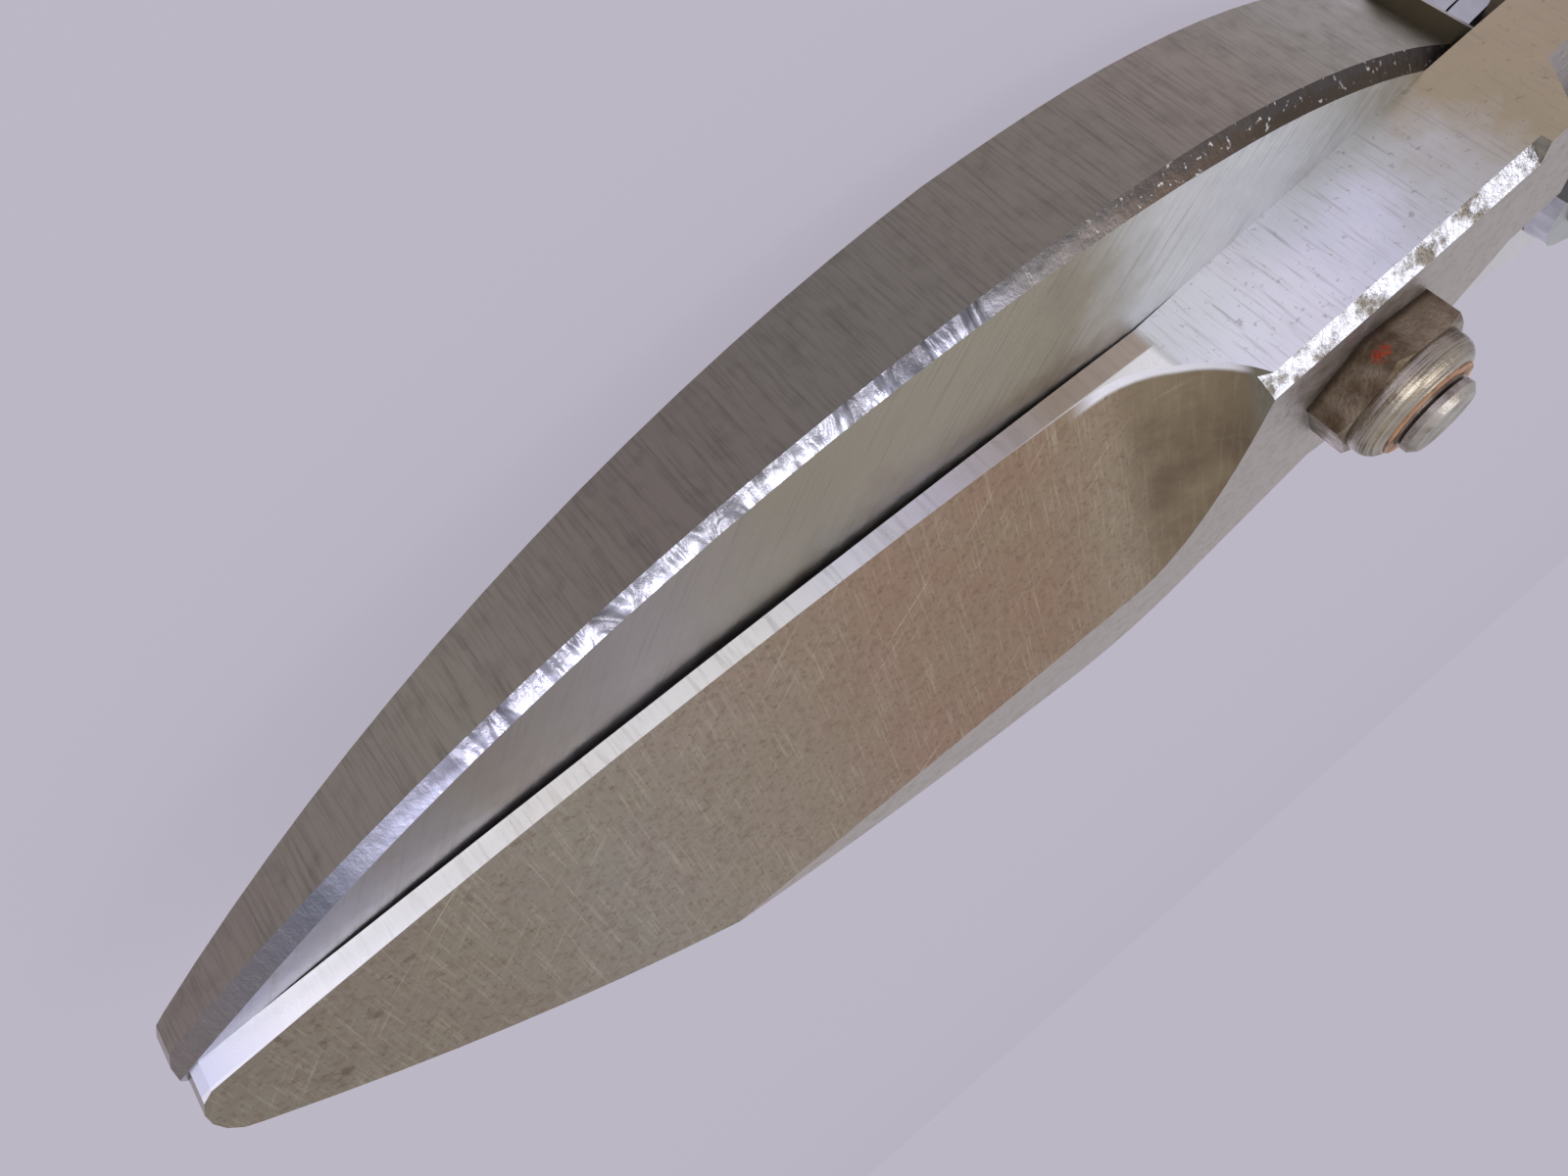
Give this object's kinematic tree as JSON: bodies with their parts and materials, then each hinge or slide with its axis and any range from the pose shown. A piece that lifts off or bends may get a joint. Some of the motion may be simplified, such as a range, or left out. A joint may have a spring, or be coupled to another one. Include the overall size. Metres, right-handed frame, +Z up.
{
  "type": "aviation snips",
  "caption": "Compound-action long-cut aviation snips: two forged, ground blades on a bolted pivot, stamped channel handles with dipped grips, return spring and thumb latch.",
  "frame": {"origin": "centre of the bounding box in plan, on the surface that the closed tool lies on", "axes": "+Z up along the pivot bolt towards its nut, +X from the blade tips to the handle ends, +Y towards the back of the upper blade"},
  "size_m": [0.2946, 0.0644, 0.0291],
  "materials": {
    "forged_steel_ground": "ground and lightly tarnished",
    "forged_steel_dark": "ground, dark heat-treated back",
    "bolt_steel": "turned",
    "nut_steel": "plated, worn",
    "insert_fibre": "pressed fibre",
    "handle_sheet": "stamped sheet steel, zinc plated",
    "grip_vinyl": "dipped vinyl",
    "rivet_steel": "headed",
    "spring_wire": "oil-tempered wire",
    "latch_steel": "stamped, zinc plated"
  },
  "bodies": {
    "lower_blade_body": {"lower_blade": "forged_steel_ground", "pivot_bolt": "bolt_steel", "pivot_washer": "bolt_steel", "pivot_nut": "nut_steel", "nut_insert": "insert_fibre", "upper_tang_rivet": "rivet_steel", "return_spring": "spring_wire"},
    "upper_blade_body": {"upper_blade": "forged_steel_dark", "lower_tang_rivet": "rivet_steel", "lower_tang_washers": "rivet_steel"},
    "upper_handle": {"upper_handle_frame": "handle_sheet", "upper_grip": "grip_vinyl", "handle_centre_rivet": "rivet_steel", "centre_sleeve": "rivet_steel", "latch_stud": "rivet_steel"},
    "lower_handle": {"lower_handle_frame": "handle_sheet", "lower_grip": "grip_vinyl", "latch_rivet": "rivet_steel"},
    "latch": {"latch_hook": "latch_steel", "latch_washer": "rivet_steel"}
  },
  "joints": [
    {"name": "blade_pivot", "type": "hinge", "parent": "lower_blade_body", "child": "upper_blade_body", "pos_m": [-0.05568, 0, 0.0127], "axis": [0, 0, -1], "range_deg": [0, 20], "deforming": ["return_spring"]},
    {"name": "upper_handle_pin", "type": "hinge", "parent": "lower_blade_body", "child": "upper_handle", "pos_m": [0.00332, 0.0125, 0.0127], "axis": [0, 0, 1], "range_deg": [0, 10.95]},
    {"name": "lower_handle_pin", "type": "hinge", "parent": "upper_blade_body", "child": "lower_handle", "pos_m": [0.00332, -0.0125, 0.0127], "axis": [0, 0, -1], "range_deg": [0, 10.95]},
    {"name": "latch_pivot", "type": "hinge", "parent": "lower_handle", "child": "latch", "pos_m": [0.01532, -0.0112, 0.0223], "axis": [0, 0, 1], "range_deg": [0, 75]}
  ],
  "couplings": [
    {"joint": "upper_handle_pin", "follows": "blade_pivot", "ratio": 0.5475},
    {"joint": "lower_handle_pin", "follows": "blade_pivot", "ratio": 0.5475}
  ]
}
